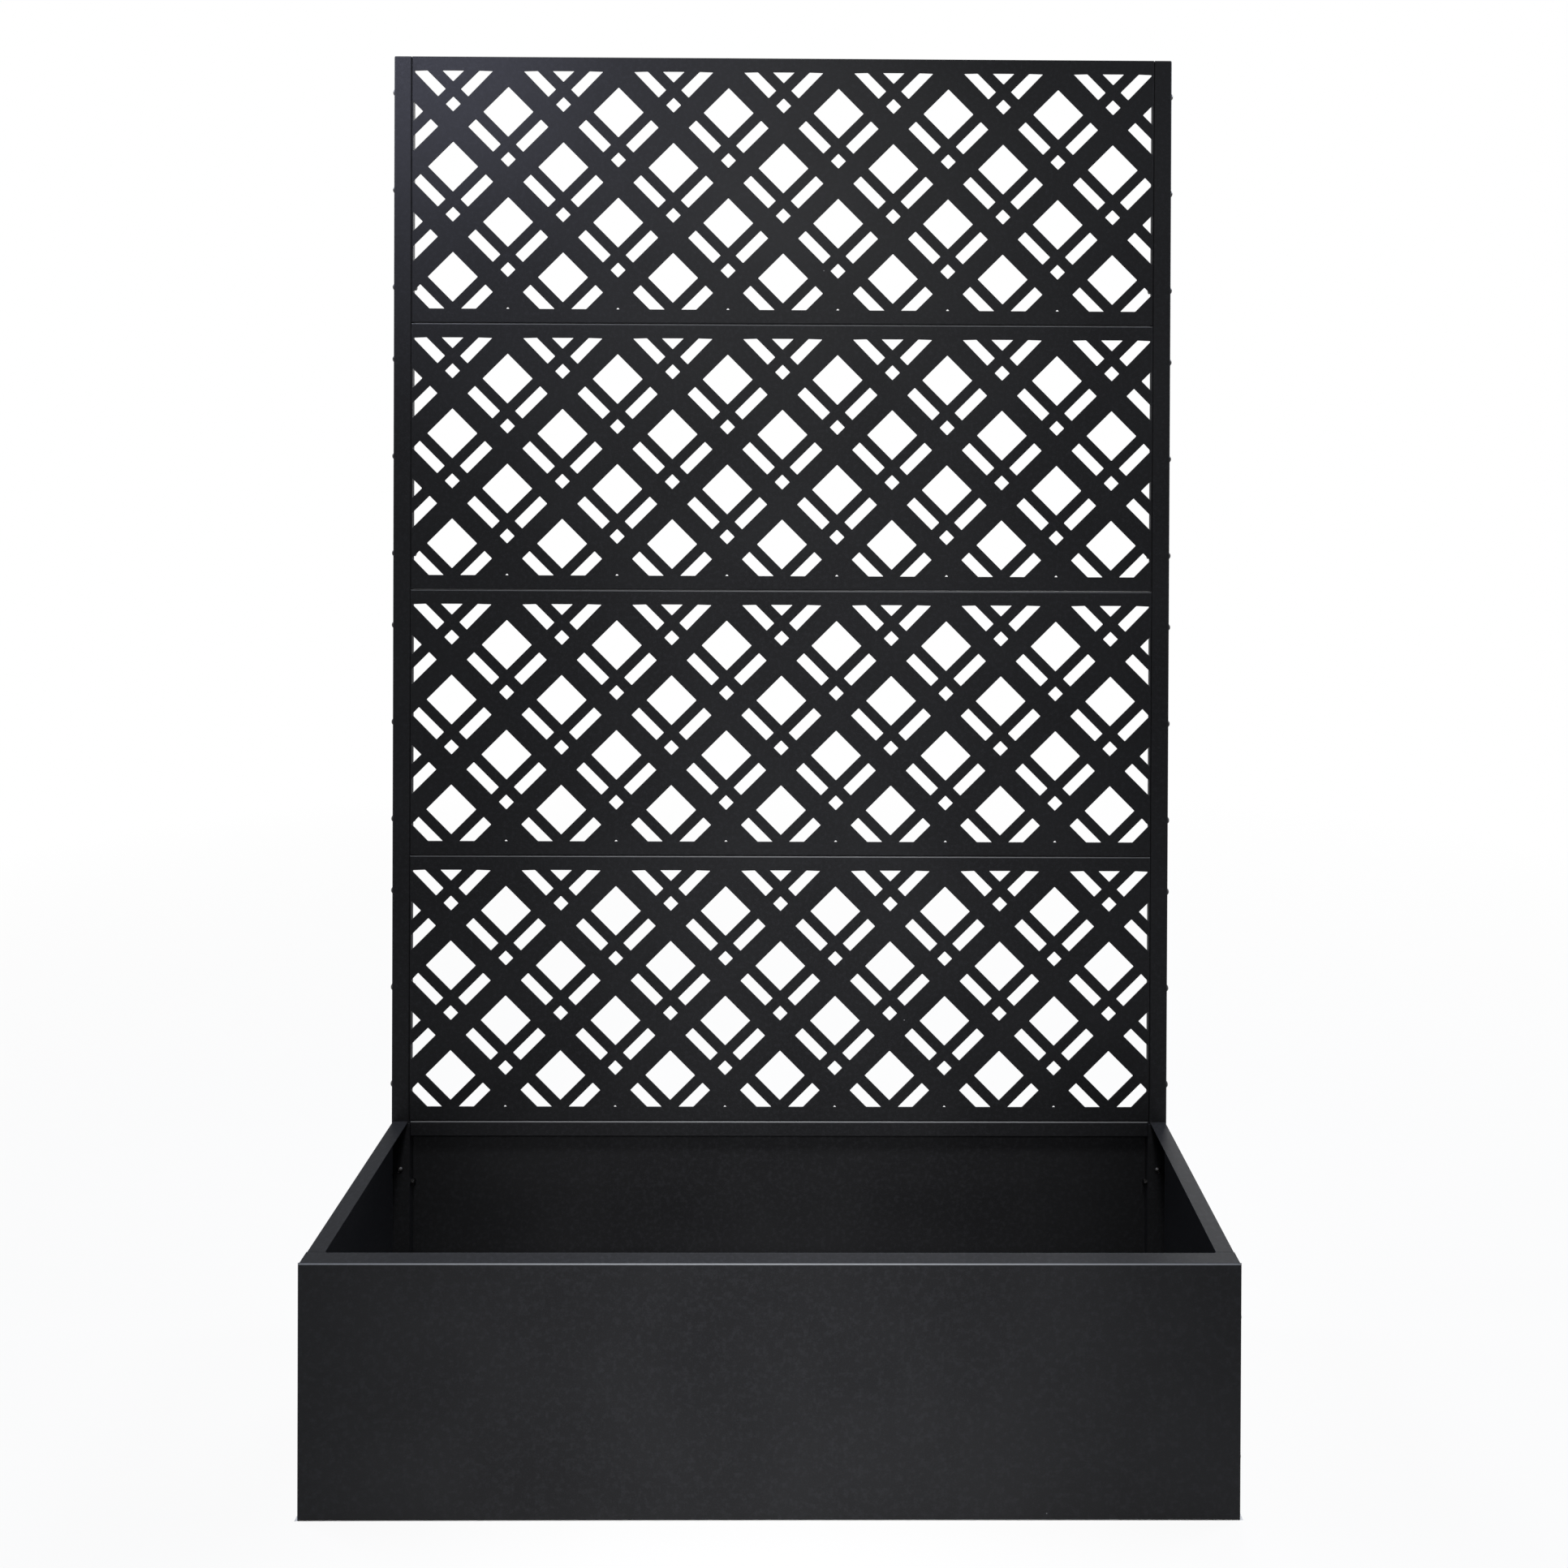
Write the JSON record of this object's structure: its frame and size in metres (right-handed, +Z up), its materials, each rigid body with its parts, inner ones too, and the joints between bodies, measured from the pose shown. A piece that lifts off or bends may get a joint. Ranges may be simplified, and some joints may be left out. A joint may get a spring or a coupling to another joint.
{
  "type": "planter with trellis",
  "caption": "Rectangular sheet-steel planter box with a tall laser-cut lattice trellis of stacked panels between two tube posts along its back.",
  "frame": {"origin": "on the ground, at the centre of the object's footprint", "axes": "+X along the width, to the right seen from the front; -Y out of the planter's front face; +Z up"},
  "size_m": [1.1054, 0.3, 1.8072],
  "materials": {
    "black_powder_coat": "fine-textured satin black powder coat",
    "black_plastic": "matte moulded plastic",
    "black_zinc": "satin black coated steel"
  },
  "bodies": {
    "root": {"right_post": "black_powder_coat", "left_post": "black_powder_coat", "right_post_cap": "black_plastic", "left_post_cap": "black_plastic", "right_post_foot": "black_plastic", "left_post_foot": "black_plastic", "trellis_panel_1": "black_powder_coat", "trellis_panel_2": "black_powder_coat", "trellis_panel_3": "black_powder_coat", "trellis_panel_4": "black_powder_coat", "front_panel": "black_powder_coat", "left_side_panel": "black_powder_coat", "right_side_panel": "black_powder_coat", "back_panel": "black_powder_coat", "floor_panel": "black_powder_coat", "floor_rib_1": "black_powder_coat", "floor_rib_2": "black_powder_coat", "floor_rib_3": "black_powder_coat", "right_post_bolts": "black_zinc", "left_post_bolts": "black_zinc", "front_corner_bolts": "black_zinc", "rear_corner_bolts": "black_zinc", "right_post_nuts": "black_zinc", "left_post_nuts": "black_zinc", "front_corner_nuts": "black_zinc", "rear_corner_nuts": "black_zinc"}
  },
  "joints": []
}
